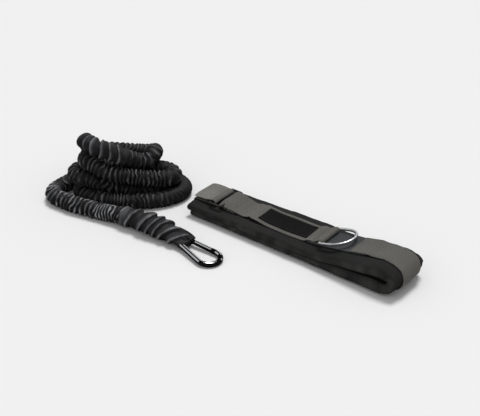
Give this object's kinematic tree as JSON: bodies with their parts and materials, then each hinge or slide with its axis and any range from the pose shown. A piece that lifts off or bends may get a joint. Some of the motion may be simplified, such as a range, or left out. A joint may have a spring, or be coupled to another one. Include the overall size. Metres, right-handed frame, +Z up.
{
  "type": "resistance sprint trainer",
  "caption": "Padded waist belt with a D-ring, and an elastic cord in a gathered fabric sleeve with a spring-gate snap hook, laid down in coils beside it.",
  "frame": {"origin": "middle of the whole set's box, on the floor that it lies on", "axes": "+Z up; +X along the set's longest side, from the coiled cord towards the belt's folded end; +Y away from the viewer, so that the snap hook and the belt's fold lie nearest"},
  "size_m": [0.624, 0.4806, 0.1112],
  "materials": {
    "sleeve_cloth": "gathered black woven nylon",
    "cuff_cloth": "gathered black woven nylon, wide pleats",
    "core_rubber": "latex cord",
    "crimp_steel": "plain pressed steel",
    "black_webbing": "black woven webbing",
    "hook_steel": "bright plated steel",
    "spring_steel": "plain spring steel",
    "liner_cloth": "black knit over foam",
    "grey_webbing": "warm grey woven webbing",
    "slate_webbing": "slate grey woven webbing",
    "label_cloth": "bare black woven label",
    "black_wire": "black coated wire",
    "fastener_cloth": "black hook and loop tape"
  },
  "bodies": {
    "cord": {"elastic_sleeve": "sleeve_cloth", "elastic_core": "core_rubber", "front_cuff": "cuff_cloth", "rear_cuff": "cuff_cloth", "front_ferrule": "crimp_steel", "rear_ferrule": "crimp_steel", "hook_strap": "black_webbing", "hand_strap": "black_webbing"},
    "hook": {"hook_body": "hook_steel"},
    "gate": {"hook_gate": "hook_steel", "gate_pivot_pin": "spring_steel", "gate_latch_pin": "spring_steel", "gate_spring": "spring_steel"},
    "plunger": {"gate_plunger": "spring_steel"},
    "belt": {"belt_liner": "liner_cloth", "main_webbing": "grey_webbing", "front_webbing": "grey_webbing", "anchor_strip": "slate_webbing", "label_patch": "label_cloth", "closure_ring": "black_wire", "loop_field": "fastener_cloth"},
    "ring": {"d_ring": "hook_steel"},
    "tail": {"closure_tail": "grey_webbing", "hook_field": "fastener_cloth"}
  },
  "joints": [
    {"name": "belt_lift", "type": "slide", "parent": "cord", "child": "belt", "axis": [0, 0, 1], "range_m": [0, 0.3]},
    {"name": "hook_swing", "type": "hinge", "parent": "cord", "child": "hook", "pos_m": [-0.06614, -0.08477, 0.009], "axis": [-0.7254, -0.6884, 0], "range_deg": [0, 110]},
    {"name": "gate_swing", "type": "hinge", "parent": "hook", "child": "gate", "pos_m": [-0.04475, -0.08947, 0.00799], "axis": [-0.0382, 0.0403, -0.9985], "range_deg": [0, 28], "stiffness_Nm_per_rad": 0.35, "springref_deg": -34.38},
    {"name": "plunger_slide", "type": "slide", "parent": "gate", "child": "plunger", "axis": [0.7926, -0.6073, -0.0549], "range_m": [0, 0.0012], "deforming": ["gate_spring"]},
    {"name": "ring_swing", "type": "hinge", "parent": "belt", "child": "ring", "pos_m": [0.16805, -0.11344, 0.03596], "axis": [-0.6239, -0.7815, 0], "range_deg": [0, 150]},
    {"name": "tail_peel", "type": "hinge", "parent": "belt", "child": "tail", "pos_m": [-0.00658, 0.02597, 0.03555], "axis": [0.6239, 0.7815, 0], "range_deg": [0, 165]}
  ],
  "couplings": [
    {"joint": "plunger_slide", "follows": "gate_swing", "m_per_rad": 0.002455}
  ]
}
